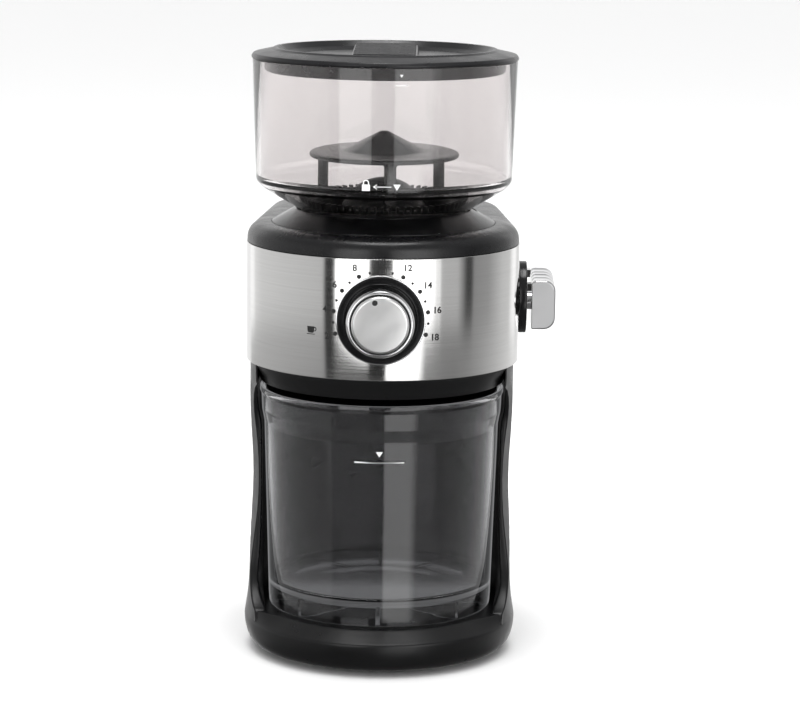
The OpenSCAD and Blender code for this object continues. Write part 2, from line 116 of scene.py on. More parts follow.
def bump(t, b, fac, strength, dist, prev=None):
    n = t.nodes.new("ShaderNodeBump")
    n.inputs["Strength"].default_value = strength
    n.inputs["Distance"].default_value = dist
    t.links.new(fac, n.inputs["Height"])
    if prev is not None:
        t.links.new(prev, n.inputs["Normal"])
    t.links.new(n.outputs[0], b.inputs["Normal"])
    return n.outputs[0]

def plastic(name, col, rough=0.42, var=0.12, grain=2200.0, grain_h=0.00002, grain_s=0.25, spec=0.5, rv=0.05, big=18.0):
    m, t, b = nt_new(name)
    v = coords(t)
    f = noise(t, v, big, 4)
    lo = tuple(c * (1 - var) for c in col)
    hi = tuple(min(1, c * (1 + var)) for c in col)
    t.links.new(ramp(t, f, [(0.35, lo), (0.65, hi)]), b.inputs["Base Color"])
    f2 = noise(t, v, big * 7, 3)
    t.links.new(remap(t, f2, rough - rv, rough + rv), b.inputs["Roughness"])
    b.inputs["Specular IOR Level"].default_value = spec
    if grain_s > 0:
        bump(t, b, noise(t, v, grain, 2), grain_s, grain_h)
    return m

def metal(name, col, rough=0.25, var=0.06, grain=1500.0, gs=0.1, stretch=(1, 1, 1), rv=0.04):
    m, t, b = nt_new(name)
    b.inputs["Metallic"].default_value = 1.0
    v = coords(t, stretch)
    f = noise(t, v, grain * 0.2, 4)
    lo = tuple(c * (1 - var) for c in col)
    hi = tuple(min(1, c * (1 + var)) for c in col)
    t.links.new(ramp(t, f, [(0.35, lo), (0.65, hi)]), b.inputs["Base Color"])
    t.links.new(remap(t, noise(t, v, grain, 3), max(0.01, rough - rv), rough + rv), b.inputs["Roughness"])
    if gs > 0:
        bump(t, b, noise(t, v, grain, 3), gs, 0.000005)
    return m

M_BLACK = plastic("m_housing_black", (0.0042, 0.0042, 0.0046), 0.32, spec=0.36)
M_COVER = plastic("m_cover_black", (0.0050, 0.0050, 0.0056), 0.27, grain=3200, spec=0.46)
M_COLLAR = plastic("m_collar_black", (0.0035, 0.0035, 0.0038), 0.17, grain=2600, grain_s=0.08)
M_GLOSS = plastic("m_gloss_black", (0.0045, 0.0045, 0.0050), 0.20, grain=2000, grain_s=0.08, spec=0.42)
M_LID = plastic("m_lid_black", (0.0055, 0.0055, 0.0066), 0.30, grain=2400, grain_s=0.15)
M_INNER = plastic("m_inner_black", (0.0026, 0.0026, 0.0028), 0.36, grain=1800, spec=0.20)
M_RUBBER = plastic("m_foot_rubber", (0.008, 0.008, 0.008), 0.75, grain=1500, grain_s=0.4)
M_NYLON = plastic("m_gear_nylon", (0.62, 0.60, 0.54), 0.45, var=0.06)
M_BOARD = plastic("m_board_green", (0.02, 0.12, 0.05), 0.35, var=0.3, big=60)
M_COPPER = metal("m_winding", (0.60, 0.24, 0.10), 0.35, var=0.25, stretch=(1, 1, 12))
M_BRONZE = metal("m_bush_bronze", (0.60, 0.42, 0.20), 0.4)
M_STEELP = metal("m_plated_steel", (0.58, 0.58, 0.59), 0.3)
M_SHAFT = metal("m_ground_shaft", (0.62, 0.62, 0.63), 0.18)
M_BURR = metal("m_burr_steel", (0.46, 0.46, 0.47), 0.32, var=0.15)
M_MAGNET = plastic("m_ferrite", (0.03, 0.03, 0.032), 0.55, grain=1200, grain_s=0.4)
def pebble():
    m, t, b = nt_new("m_lid_pebble")
    v = coords(t)
    vo = t.nodes.new("ShaderNodeTexVoronoi")
    vo.feature = "SMOOTH_F1"
    vo.inputs["Scale"].default_value = 380.0
    vo.inputs["Smoothness"].default_value = 0.6
    t.links.new(v, vo.inputs["Vector"])
    t.links.new(ramp(t, noise(t, v, 40, 3), [(0.35, (0.0045, 0.0045, 0.005)), (0.65, (0.0065, 0.0065, 0.0072))]), b.inputs["Base Color"])
    t.links.new(remap(t, noise(t, v, 90, 3), 0.22, 0.32), b.inputs["Roughness"])
    bump(t, b, vo.outputs["Distance"], 0.9, 0.0011)
    return m

M_PEBBLE = pebble()
M_PRINT_BLACK = plastic("m_print_black", (0.012, 0.012, 0.012), 0.5, grain_s=0)
M_PRINT_WHITE = plastic("m_print_white", (0.90, 0.90, 0.90), 0.5, var=0.03, grain_s=0)

def chrome(name, col=(0.82, 0.82, 0.83), rough=0.05, wav=0.0):
    m, t, b = nt_new(name)
    b.inputs["Metallic"].default_value = 1.0
    v = coords(t)
    f = noise(t, v, 40, 3)
    t.links.new(ramp(t, f, [(0.3, tuple(c * 0.992 for c in col)), (0.7, col)]), b.inputs["Base Color"])
    t.links.new(remap(t, noise(t, v, 160, 4), rough * 0.93, rough * 1.07), b.inputs["Roughness"])
    if wav > 0:
        bump(t, b, noise(t, v, 55, 1), wav, 0.0004)
    return m

M_CHROME = chrome("m_chrome", rough=0.05)
M_BUTTON = chrome("m_button_satin", (0.93, 0.93, 0.925), 0.30)
M_SATIN = chrome("m_knob_satin", (0.60, 0.60, 0.605), 0.34)

def brushed():
    m, t, b = nt_new("m_brushed_band")
    b.inputs["Metallic"].default_value = 1.0
    v = coords(t, (9.0, 9.0, 2600.0))
    v2 = coords(t, (26.0, 26.0, 5200.0))
    f = noise(t, v, 1.0, 5, 0.6)
    f2 = noise(t, v2, 1.0, 3, 0.5)
    t.links.new(ramp(t, f, [(0.25, (0.76, 0.755, 0.745)), (0.75, (0.83, 0.825, 0.815))]), b.inputs["Base Color"])
    t.links.new(remap(t, f2, 0.12, 0.19), b.inputs["Roughness"])
    b.inputs["Anisotropic"].default_value = 0.88
    tg = t.nodes.new("ShaderNodeTangent")
    tg.direction_type = "RADIAL"
    tg.axis = "Z"
    t.links.new(tg.outputs[0], b.inputs["Tangent"])
    b.inputs["Anisotropic Rotation"].default_value = 0.25
    bump(t, b, f2, 0.06, 0.00001)
    return m

M_BAND = brushed()

def clear_plastic(name, tint, rough=0.012, ior=1.49, streak=0.02, edge=0.0):
    m, t, b = nt_new(name)
    v = coords(t)
    f = noise(t, v, 9, 2)
    lo = tuple(c * (1 - streak) for c in tint)
    t.links.new(ramp(t, f, [(0.3, lo), (0.7, tint)]), b.inputs["Base Color"])
    t.links.new(remap(t, noise(t, v, 60, 3), rough * 0.6, rough * 1.6), b.inputs["Roughness"])
    b.inputs["Transmission Weight"].default_value = 1.0
    b.inputs["IOR"].default_value = ior
    if edge > 0:
        # painted glow: the wall emits light where it is seen edge on, standing in for its bright rims; it is no lamp
        lw = t.nodes.new("ShaderNodeLayerWeight")
        lw.inputs["Blend"].default_value = 0.5
        painted_rim_glow = t.nodes.new("ShaderNodeEmission")
        painted_rim_glow.inputs["Color"].default_value = (0.97, 0.98, 1.0, 1)
        painted_rim_glow.inputs["Strength"].default_value = 0.62
        mx = t.nodes.new("ShaderNodeMixShader")
        out = [n for n in t.nodes if n.type == "OUTPUT_MATERIAL"][0]
        fac = ramp(t, lw.outputs["Facing"], [(0.60, (0, 0, 0)), (0.80, (edge * 0.30,) * 3), (0.93, (edge,) * 3), (1.0, (edge,) * 3)])
        t.links.new(fac, mx.inputs[0])
        t.links.new(b.outputs[0], mx.inputs[1])
        t.links.new(painted_rim_glow.outputs[0], mx.inputs[2])
        t.links.new(mx.outputs[0], out.inputs["Surface"])
    return m

M_HOPPER = clear_plastic("m_hopper_clear", (0.775, 0.750, 0.748))
# edge=0.42 paints a glow on the container's rims where they are seen edge on
M_CUP = clear_plastic("m_container_smoke", (0.42, 0.42, 0.43), edge=0.42)

SLOT_MAT = {
    "foot_rubber": M_RUBBER, "housing_black": M_BLACK, "cover_black": M_COVER, "band_steel": M_BAND,
    "fastener_steel": M_STEELP, "shaft_steel": M_SHAFT, "burr_steel": M_BURR, "bush_bronze": M_BRONZE,
    "motor_steel": M_STEELP, "magnet_dark": M_MAGNET, "copper_winding": M_COPPER, "inner_black": M_INNER,
    "gear_nylon": M_NYLON, "chrome": M_CHROME, "board_green": M_BOARD, "hopper_clear": M_HOPPER,
    "hopper_black": M_LID, "container_smoke": M_CUP, "container_lid_black": M_GLOSS,
}
for sp in frame["record"]["subparts"]:
    o = nodes[sp["node"]]
    o.data.materials.clear()
    o.data.materials.append(SLOT_MAT[sp["material_slot"]])
    o.data.polygons.foreach_set("material_index", [0] * len(o.data.polygons))
    o.data.shade_smooth()
    o.data.set_sharp_from_angle(angle=radians(28))

# ------------------------------------------------------------------ mesh helpers
def finish_mesh(name, verts, faces, mat, body, slot=None, sharp=32, replaces=(), recalc=True):
    me = bpy.data.meshes.new(name)
    me.from_pydata([(x * MM, y * MM, z * MM) for x, y, z in verts], [], faces)
    bm = bmesh.new()
    bm.from_mesh(me)
    bmesh.ops.remove_doubles(bm, verts=bm.verts, dist=1e-7)
    if recalc:
        bmesh.ops.recalc_face_normals(bm, faces=bm.faces)
    bm.to_mesh(me)
    bm.free()
    me.shade_smooth()
    me.set_sharp_from_angle(angle=radians(sharp))
    me.materials.append(mat)
    o = bpy.data.objects.new(name, me)
    COL.objects.link(o)
    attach(o, body)
    if replaces:
        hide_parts(*replaces)
    return o

def fillet(poly, rad, n=5, closed=True):
    """Rounds the corners of a 2D polygon: rad is one number or one per point."""
    out = []
    k = len(poly)
    for i, p in enumerate(poly):
        r = rad[i] if isinstance(rad, (list, tuple)) else rad
        if (not closed and i in (0, k - 1)) or r <= 0:
            out.append(tuple(p))
            continue
        a = Vector(poly[i - 1]) - Vector(p)
        b = Vector(poly[(i + 1) % k]) - Vector(p)
        la, lb = a.length, b.length
        a.normalize(); b.normalize()
        ang = a.angle(b)
        if ang > pi - 0.02 or ang < 0.02:
            out.append(tuple(p))
            continue
        d = min(r / math.tan(ang / 2), la * 0.49, lb * 0.49)
        rr = d * math.tan(ang / 2)
        c = Vector(p) + (a + b).normalized() * (rr / sin(ang / 2))
        p0, p1 = Vector(p) + a * d, Vector(p) + b * d
        a0 = atan2(p0.y - c.y, p0.x - c.x)
        a1 = atan2(p1.y - c.y, p1.x - c.x)
        da = (a1 - a0 + pi) % (2 * pi) - pi
        for j in range(n + 1):
            t = a0 + da * j / n
            out.append((c.x + rr * cos(t), c.y + rr * sin(t)))
    return out

def lathe(name, prof, mat, body, seg=160, axis="Z", center=(0, 0), slot=None, sharp=32, replaces=(), closed=True, phase=0.0):
    """Turns a closed profile [(radius, height)] about an axis. center is the axis's place in the other two coordinates."""
    verts, idx = [], []
    for r, h in prof:
        ring = []
        cnt = 1 if r < 1e-6 else seg
        for i in range(cnt):
            a = phase + 2 * pi * i / seg
            u, w = r * cos(a), r * sin(a)
            if axis == "Z":
                verts.append((center[0] + u, center[1] + w, h))
            elif axis == "Y":
                verts.append((center[0] + u, h, center[1] + w))
            else:
                verts.append((h, center[0] + u, center[1] + w))
            ring.append(len(verts) - 1)
        idx.append(ring)
    faces = []
    k = len(prof)
    for j in range(k if closed else k - 1):
        A, B = idx[j], idx[(j + 1) % k]
        if len(A) == 1 and len(B) == 1:
            continue
        for i in range(seg):
            i2 = (i + 1) % seg
            if len(A) == 1:
                faces.append((A[0], B[i2], B[i]))
            elif len(B) == 1:
                faces.append((A[i], A[i2], B[0]))
            else:
                faces.append((A[i], A[i2], B[i2], B[i]))
    return finish_mesh(name, verts, faces, mat, body, slot, sharp, replaces)

R_BODY, R_REAR, C_X, C_Y = 61.0, 29.0, 26.0, 70.0
_pa = atan2(C_Y, C_X) - acos((R_BODY - R_REAR) / hypot(C_X, C_Y))

def plan(o, nf=150, nb=34, nl=8):
    """Body outline, o millimetres inside it, counter-clockwise from the left flank round the front."""
    pts = [((R_BODY - o) * cos(pi - _pa + i * (pi + 2 * _pa) / nf), (R_BODY - o) * sin(pi - _pa + i * (pi + 2 * _pa) / nf)) for i in range(nf + 1)]
    c1 = [(C_X + (R_REAR - o) * cos(_pa + i * (pi / 2 - _pa) / nb), C_Y + (R_REAR - o) * sin(_pa + i * (pi / 2 - _pa) / nb)) for i in range(nb + 1)]
    p, q = pts[-1], c1[0]
    pts += [(p[0] + (q[0] - p[0]) * i / nl, p[1] + (q[1] - p[1]) * i / nl) for i in range(1, nl)] + c1
    c2 = [(-x, y) for x, y in reversed(c1)]
    p, q = c1[-1], c2[0]
    pts += [(p[0] + (q[0] - p[0]) * i / nl, p[1]) for i in range(1, nl)] + c2
    p, q = c2[-1], pts[0]
    pts += [(p[0] + (q[0] - p[0]) * i / nl, p[1] + (q[1] - p[1]) * i / nl) for i in range(1, nl)]
    return pts

def rings_mesh(name, rings, mat, body, closed=False, cap0=True, cap1=True, **kw):
    n = len(rings[0])
    verts = [v for r in rings for v in r]
    faces = []
    k = len(rings)
    for j in range(k if closed else k - 1):
        a, b = j * n, ((j + 1) % k) * n
        for i in range(n):
            i2 = (i + 1) % n
            faces.append((a + i, a + i2, b + i2, b + i))
    if not closed:
        if cap0:
            faces.append(tuple(range(n)))
        if cap1:
            faces.append(tuple((k - 1) * n + i for i in range(n)))
    return finish_mesh(name, verts, faces, mat, body, **kw)

def ring_at(o, z, **kw):
    return [(x, y, z) for x, y in plan(o, **kw)]

def circle_like(o, r, z):
    """A circle with as many points as the outline, point by point in the same directions."""
    return [(r * cos(atan2(y, x)), r * sin(atan2(y, x)), z) for x, y in plan(o)]

def boolean(o, cutter, op="DIFFERENCE"):
    md = o.modifiers.new("b", "BOOLEAN")
    md.operation = op
    md.solver = "EXACT"
    md.object = cutter
    dg = bpy.context.evaluated_depsgraph_get()
    me = bpy.data.meshes.new_from_object(o.evaluated_get(dg))
    o.modifiers.remove(md)
    old = o.data
    o.data = me
    bpy.data.meshes.remove(old)
    bpy.data.objects.remove(cutter)
    me.shade_smooth()
    me.set_sharp_from_angle(angle=radians(32))
    return o

def tmp_obj(verts, faces):
    me = bpy.data.meshes.new("cut")
    me.from_pydata([(x * MM, y * MM, z * MM) for x, y, z in verts], [], faces)
    bm = bmesh.new(); bm.from_mesh(me)
    bmesh.ops.recalc_face_normals(bm, faces=bm.faces)
    bm.to_mesh(me); bm.free()
    o = bpy.data.objects.new("cut", me)
    COL.objects.link(o)
    return o

def cyl_cut(r, h0, h1, axis, center, seg=96):
    v, f = [], []
    for h in (h0, h1):
        for i in range(seg):
            a = 2 * pi * i / seg
            u, w = center[0] + r * cos(a), center[1] + r * sin(a)
            v.append({"Y": (u, h, w), "X": (h, u, w), "Z": (u, w, h)}[axis])
    f = [tuple(range(seg)), tuple(range(seg, 2 * seg))] + [(i, (i + 1) % seg, seg + (i + 1) % seg, seg + i) for i in range(seg)]
    return tmp_obj(v, f)

def box_faces(i):
    return [(i, i + 1, i + 2, i + 3), (i + 4, i + 5, i + 6, i + 7), (i, i + 1, i + 5, i + 4), (i + 1, i + 2, i + 6, i + 5), (i + 2, i + 3, i + 7, i + 6), (i + 3, i, i + 4, i + 7)]

def boxes_cut(lst):
    v, f = [], []
    for x0, y0, z0, x1, y1, z1 in lst:
        f += box_faces(len(v))
        v += [(x0, y0, z0), (x1, y0, z0), (x1, y1, z0), (x0, y1, z0), (x0, y0, z1), (x1, y0, z1), (x1, y1, z1), (x0, y1, z1)]
    return tmp_obj(v, f)

def lerp_tab(tab, z):
    if z <= tab[0][0]:
        return tab[0][1]
    for (a, u), (b, w) in zip(tab, tab[1:]):
        if z <= b:
            t = (z - a) / (b - a)
            t = t * t * (3 - 2 * t) if len(tab) > 2 else t
            return u + (w - u) * t
    return tab[-1][1]

DZ = 159.5   # height of the dial and grind knob axes
TURN = radians(5.7)

# ------------------------------------------------------------------ base
base_prof = [(8.8, 4.8), (8.8, 3.0), (8.2, 2.55), (5.7, 2.5), (4.7, 2.65), (3.6, 3.2), (2.5, 4.2), (1.6, 5.4), (0.85, 7.0), (0.3, 8.9), (-0.1, 10.8),
             (-0.33, 12.6), (-0.42, 14.2), (-0.42, 14.8), (-0.30, 15.25), (0.02, 15.6), (0.6, 16.0), (2.2, 17.2), (4.0, 18.55), (5.4, 19.55), (6.1, 20.1), (6.6, 20.4), (7.2, 20.57), (8.0, 20.6)]
R_TAB = [(14.8, 61.42), (15.25, 61.38), (16.2, 61.27), (17.2, 61.12), (19.8, 60.72), (22.8, 60.25), (26.0, 59.85), (32.0, 59.45), (40, 59.2), (132.4, 59.2)]
X_TAB = [(17.0, 50.3), (20.6, 50.6), (22.0, 51.2), (24.0, 52.4), (27.0, 53.7), (31.0, 54.6), (36.0, 54.8), (43.0, 54.2), (52.0, 53.75), (60.0, 53.7), (103.0, 53.7), (107.0, 54.6), (110.0, 55.2), (132.4, 55.4)]
N_TAB = [(20.0, 54.2), (104.0, 54.2), (108.0, 55.6), (132.4, 55.6)]
Y_TAB = [(17.0, -27.0), (20.6, -24.5), (22.0, -21.6), (24.0, -18.4), (26.5, -15.2), (29.5, -12.2), (33.0, -9.5), (37.5, -7.0), (42.5, -5.3), (48.0, -4.3), (54.0, -4.0), (104.0, -4.0),
         (108.0, -4.7), (112.5, -6.7), (117.0, -10.2), (120.8, -14.8), (123.2, -20.0), (132.4, -20.0)]
def lin(tab, z):
    if z <= tab[0][0]:
        return tab[0][1]
    for (a, u), (b, w) in zip(tab, tab[1:]):
        if z <= b:
            return u + (w - u) * (z - a) / (b - a)
    return tab[-1][1]

def base_ring(o, z):
    """Outline of the base at z: towards the arms the top slope rises into their flank."""
    oa = R_BODY - lin(R_TAB, z)
    out = []
    full, side = plan(o), plan(min(o, oa) if z > 14.8 else o)
    for p, q in zip(full, side):
        ph = math.degrees(atan2(abs(p[0]), -p[1]))
        t = min(1.0, max(0.0, (ph - 46.0) / 26.0))
        t = t * t * (3 - 2 * t)
        out.append((p[0] + (q[0] - p[0]) * t, p[1] + (q[1] - p[1]) * t, z))
    return out
base = rings_mesh("base_shell_skin", [base_ring(o, z) for o, z in base_prof], M_BLACK, "root", slot="housing_black", sharp=44, replaces=("base_shell",))

# ------------------------------------------------------------------ rear housing with the two arms
S_N = (0.951, -0.309)
def outer_pt(ro, a, z):
    """A point of the outer flank; towards the bay's mouth the arm is scooped to a slim edge."""
    x, y = ro * cos(a), ro * sin(a)
    sag = 200.0 - sqrt(max(200.0 ** 2 - (z - 78.0) ** 2, 0.0))
    ex = S_N[0] * (x - 58.9) + S_N[1] * (y - 8.0) - sag
    if ex > 0 and y < 20:
        x, y = x - S_N[0] * ex, y - S_N[1] * ex
    return x, y

def column_slice(z):
    ro = lin(R_TAB, z)
    o = R_BODY - ro
    xi, rn, yt = lin(X_TAB, z), lin(N_TAB, z), lin(Y_TAB, z)
    # where the outer flank meets the mouth
    lo, hi = -1.2, 0.3
    for _ in range(30):
        mid = (lo + hi) / 2
        if outer_pt(ro, mid, z)[1] < yt:
            lo = mid
        else:
            hi = mid
    xo = outer_pt(ro, hi, z)[0]
    xi = min(xi, xo - 0.7)
    r = min(0.46 * (xo - xi), 1.1)
    lo2, hi2 = lo, 0.3
    for _ in range(30):
        mid = (lo2 + hi2) / 2
        if outer_pt(ro, mid, z)[1] < yt + r:
            lo2 = mid
        else:
            hi2 = mid
    a0 = hi2
    xq = outer_pt(ro, a0, z)[0]
    nA, nC, nL, nT = 24, 18, 6, 5
    out = [(xq - r + r * cos(t), yt + r + r * sin(t)) for t in [-pi / 2 + pi / 2 * i / nT for i in range(nT)]]
    out += [outer_pt(ro, a0 + (_pa - a0) * i / nA, z) for i in range(nA + 1)]
    rr = R_REAR - o
    c1 = [(C_X + rr * cos(_pa + i * (pi / 2 - _pa) / nC), C_Y + rr * sin(_pa + i * (pi / 2 - _pa) / nC)) for i in range(nC + 1)]
    p, q = out[-1], c1[0]
    out += [(p[0] + (q[0] - p[0]) * i / nL, p[1] + (q[1] - p[1]) * i / nL) for i in range(1, nL)] + c1
    out.append((0, c1[-1][1]))
    # inner side, from the tip back to the bay's round wall
    inn = [(xi + r + r * cos(t), yt + r + r * sin(t)) for t in [-pi / 2 - pi / 2 * i / nT for i in range(nT + 1)]]
    yj = 9.0
    xj = sqrt(rn * rn - yj * yj)
    nP, nN = 9, 26
    for i in range(1, nP + 1):
        t = i / nP
        inn.append((xi + (xj - xi) * t, yt + r + (yj - yt - r) * t))
    aj = atan2(yj, xj)
    for i in range(1, nN + 1):
        a = aj + (pi / 2 - aj) * i / nN
        inn.append((rn * cos(a), rn * sin(a)))
    right = list(reversed(inn)) + out           # from the back centre of the bay, round the right arm, to the back centre outside
    left = [(-x, y) for x, y in reversed(right[1:-1])]
    return [(x, y, z) for x, y in right + left]

zs = [16.2, 17.2, 18.4, 19.6, 20.6, 21.3, 22, 23, 24, 25.2, 26.5, 28, 29.5, 31, 33, 35.2, 37.5, 40, 42.5, 45, 48, 54, 62, 70, 78, 86, 94, 100, 104, 106, 108, 110, 112.5, 114.8, 117, 119, 120.8, 122, 123.2, 124.5, 128, 130.5, 131.8, 132.2]
rings = [column_slice(z) for z in zs]
last = [(x * 0.9985, y if y < 0 else 35 + (y - 35) * 0.9985, 132.4) for x, y, z in rings[-1]]
col = rings_mesh("rear_housing_shell", rings + [last], M_BLACK, "root", slot="housing_black", sharp=38)
cut = boxes_cut([(i * 6 - 1.2, 94.6, 84, i * 6 + 1.2, 99, 114) for i in range(-4, 5)])
boolean(col, cut)
boolean(col, cyl_cut(7.0, 90, 104, "Y", (0, 48)))
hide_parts("rear_housing")

# ------------------------------------------------------------------ black upper housing: skirt over the niche and wall behind the band
sk = [(6.35, 123.5), (6.28, 123.7), (6.05, 124.3), (5.4, 125.3), (4.55, 126.8), (3.75, 128.4), (2.95, 130.0), (2.25, 131.3), (1.7, 132.1), (1.25, 132.55), (1.0, 132.9), (1.0, 185.6), (3.2, 185.6), (3.2, 133.6)]
def skirt_ring(o, z):
    out = []
    for x, y in plan(o):
        if z < 132.5:
            # behind the arms the skirt steps inside the niche
            yy = y
            if y > -19.9:
                r = hypot(x, y)
                rr = min(r, 55.1)
                x, y = x * rr / r, y * rr / r
                if y < -19.9:
                    y = -19.9
        out.append((x, y, z))
    return out
up_rings = [skirt_ring(o, z) for o, z in sk]
up_rings.append([(x, y, 126.0) for x, y, z in skirt_ring(8.4, 126.0)])
upper = rings_mesh("upper_housing_shell", up_rings, M_BLACK, "root", slot="housing_black", sharp=38)
boolean(upper, boxes_cut([(-46, -9.2, 118, -34.4, 9.2, 128)]))
boolean(upper, cyl_cut(7.0, 118, 130, "Z", (0, 0)))
boolean(upper, cyl_cut(18.0, -64, -50, "Y", (0, DZ)))
boolean(upper, cyl_cut(15.0, 50, 64, "X", (0, DZ)))
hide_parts("upper_housing")

# ------------------------------------------------------------------ brushed band
bp = fillet([(0, 132.9), (0, 185.7), (0.98, 185.7), (0.98, 132.9)], [0.25, 0.25, 0.1, 0.1], 3)
zsub = []
for i, (o, z) in enumerate(bp):
    zsub.append((o, z))
band = rings_mesh("steel_band_sheet", [ring_at(o, z) for o, z in zsub], M_BAND, "root", closed=True, slot="band_steel", sharp=50)
boolean(band, cyl_cut(18.0, -64, -50, "Y", (0, DZ)))
boolean(band, cyl_cut(15.0, 50, 64, "X", (0, DZ)))
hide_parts("steel_band")

# ------------------------------------------------------------------ top cover and collar
cov = []
for i in range(17):
    t = pi / 2 * i / 16
    cov.append((0.25 + 10.35 * (1 - cos(t) ** 0.76), 186.0 + 8.45 * sin(t) ** 0.76 if i else 186.0))
rings = [ring_at(1.2, 186.0)] + [ring_at(o, z) for o, z in cov]
rings.append(circle_like(10.6, 50.05, 194.44))
rings.append(circle_like(10.6, 49.95, 194.30))
rings.append(circle_like(10.6, 49.95, 192.2))
rings.append(circle_like(10.6, 46.0, 192.0))
rings.append(circle_like(10.6, 46.0, 190.0))
rings.append(ring_at(7.6, 190.2))
rings.append(ring_at(3.4, 187.0))
cover = rings_mesh("top_cover_shell", rings, M_COVER, "root", closed=True, slot="cover_black", sharp=40, replaces=("top_cover",))

col_prof = fillet([(38.9, 192.1), (49.8, 192.1), (49.8, 194.62), (39.6, 200.45), (38.9, 200.3)], [0.2, 0.2, 0.35, 0.5, 0.2], 4)
collar = lathe("collar_plate", col_prof, M_COLLAR, "root", seg=192, slot="cover_black")
slots = []
v, f = [], []
for a in (0, 120, 240):
    ca, sa = cos(radians(a) + TURN), sin(radians(a) + TURN)
    f += box_faces(len(v))
    v += [(ca * x - sa * y, sa * x + ca * y, z) for z in (190, 202) for x, y in ((37, -4.6), (41.7, -4.6), (41.7, 4.6), (37, 4.6))]
boolean(collar, tmp_obj(v, f))
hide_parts("collar_ring")

# ------------------------------------------------------------------ hopper
hop_out = [(38.4, 188.0), (38.4, 200.4), (39.3, 201.2), (41.9, 203.0), (44.8, 204.8), (47.5, 206.6), (50.8, 208.4), (54.2, 210.2)]
hop = [(38.4, 188.2), (38.4, 200.6), (54.6, 210.45), (56.95, 213.2), (58.75, 267.1), (56.55, 267.1), (54.9, 215.0), (52.6, 212.2), (37.4, 203.0), (36.4, 201.0), (36.4, 188.2)]
hop = fillet(hop, [0.2, 1.2, 3.0, 3.2, 0.5, 0.5, 3.0, 2.0, 1.0, 1.0, 0.2], 6)
hopper = lathe("hopper_shell", hop, M_HOPPER, "hopper", seg=256, slot="hopper_clear", sharp=60, replaces=("hopper",))
for k, a in enumerate((0, 120, 240)):
    a0 = radians(a) + TURN
    v, f = [], []
    pr = fillet([(38.2, 188.3), (41.2, 188.3), (41.2, 191.1), (38.2, 191.1)], 0.3, 2)
    n = len(pr)
    st = 9
    for i in range(st):
        t = a0 + radians(-5.8 + 11.6 * i / (st - 1))
        v += [(r * cos(t), r * sin(t), z) for r, z in pr]
    for i in range(st - 1):
        for j in range(n):
            j2 = (j + 1) % n
            f.append((i * n + j, i * n + j2, (i + 1) * n + j2, (i + 1) * n + j))
    f.append(tuple(range(n))); f.append(tuple((st - 1) * n + j for j in range(n)))
    finish_mesh(f"hopper_lug_{k+1}", v, f, M_HOPPER, "hopper", "hopper_clear")

# neck insert: ring with castellations, three spokes and the domed hub
ins = fillet([(28.5, 197.6), (36.35, 197.6), (36.35, 201.2), (37.3, 202.5), (36.6, 203.6), (34.4, 204.2), (30.4, 204.2), (28.5, 203.2)], 0.4, 3)
insert = lathe("neck_insert_ring", ins, M_INNER, "hopper", seg=160, slot="hopper_black", replaces=("hopper_insert",))
v, f = [], []
NR = 72
for i in range(NR):
    a = 2 * pi * i / NR
    for r0, r1, z0, z1, w in ((35.0, 37.0, 203.0, 206.6, 0.62),):
        ca, sa = cos(a), sin(a)
        f += box_faces(len(v))
        lo, hi = [], []
        for x, y in ((r0, -w), (r1, -w), (r1, w), (r0, w)):
            lo.append((ca * x - sa * y, sa * x + ca * y, z0))
        for x, y in ((r0 + 0.2, -w * 0.7), (r1 + 1.4, -w * 0.7), (r1 + 1.4, w * 0.7), (r0 + 0.2, w * 0.7)):
            hi.append((ca * x - sa * y, sa * x + ca * y, z1))
        v += lo + hi
finish_mesh("neck_insert_ribs", v, f, M_INNER, "hopper", "hopper_black")
dome = [(0.0, 197.6), (18.5, 197.6), (18.5, 203.2)] + [(21.4 * cos(t), 192.6 + 21.4 * sin(t)) for t in [acos(18.3 / 21.4) + (pi / 2 - acos(18.3 / 21.4)) * i / 14 for i in range(14)]] + [(0.0, 214.0)]
hub = lathe("neck_insert_hub", dome, M_INNER, "hopper", seg=96, slot="hopper_black", sharp=40)
if "hopper_hub" in nodes:
    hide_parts("hopper_hub")
v, f = [], []
for a in (90, 210, 330):
    ca, sa = cos(radians(a) + TURN), sin(radians(a) + TURN)
    f += box_faces(len(v))
    v += [(ca * x - sa * y, sa * x + ca * y, z) for z in (197.8, 201.2) for x, y in ((17, -2.5), (29.5, -2.5), (29.5, 2.5), (17, 2.5))]
finish_mesh("neck_insert_spokes", v, f, M_INNER, "hopper", "hopper_black")

# bean guard: brim, cone and three legs
gp = [(0.0, 222.6), (31.6, 222.6), (33.4, 222.9), (33.4, 224.5), (31.0, 224.75), (18.2, 225.3), (1.8, 233.1), (0.0, 233.3)]
gp = [gp[0]] + fillet(gp[1:-1], [0.4, 0.9, 0.9, 0.8, 1.6, 1.0], 4, closed=False) + [gp[-1]]
lathe("bean_guard_hat", gp, M_GLOSS, "hopper", seg=160, slot="hopper_black", replaces=("bean_guard",))
v, f = [], []
for a in (30, 150, 270):
    ca, sa = cos(radians(a) + TURN), sin(radians(a) + TURN)
    sec = fillet([(28.8, -2.6), (32.0, -2.6), (32.0, 2.6), (28.8, 2.6)], 0.7, 3)
    n = len(sec)
    i0 = len(v)
    for z, g in ((203.6, 1.0), (221.6, 1.0), (222.3, 1.15), (222.8, 1.35)):
        v += [(ca * (30.4 + (x - 30.4) * g) - sa * y * g, sa * (30.4 + (x - 30.4) * g) + ca * y * g, z) for x, y in sec]
    for k in range(3):
        for j in range(n):
            j2 = (j + 1) % n
            f.append((i0 + k * n + j, i0 + k * n + j2, i0 + (k + 1) * n + j2, i0 + (k + 1) * n + j))
    f.append(tuple(i0 + j for j in range(n))); f.append(tuple(i0 + 3 * n + j for j in range(n)))
finish_mesh("bean_guard_legs", v, f, M_GLOSS, "hopper", "hopper_black")

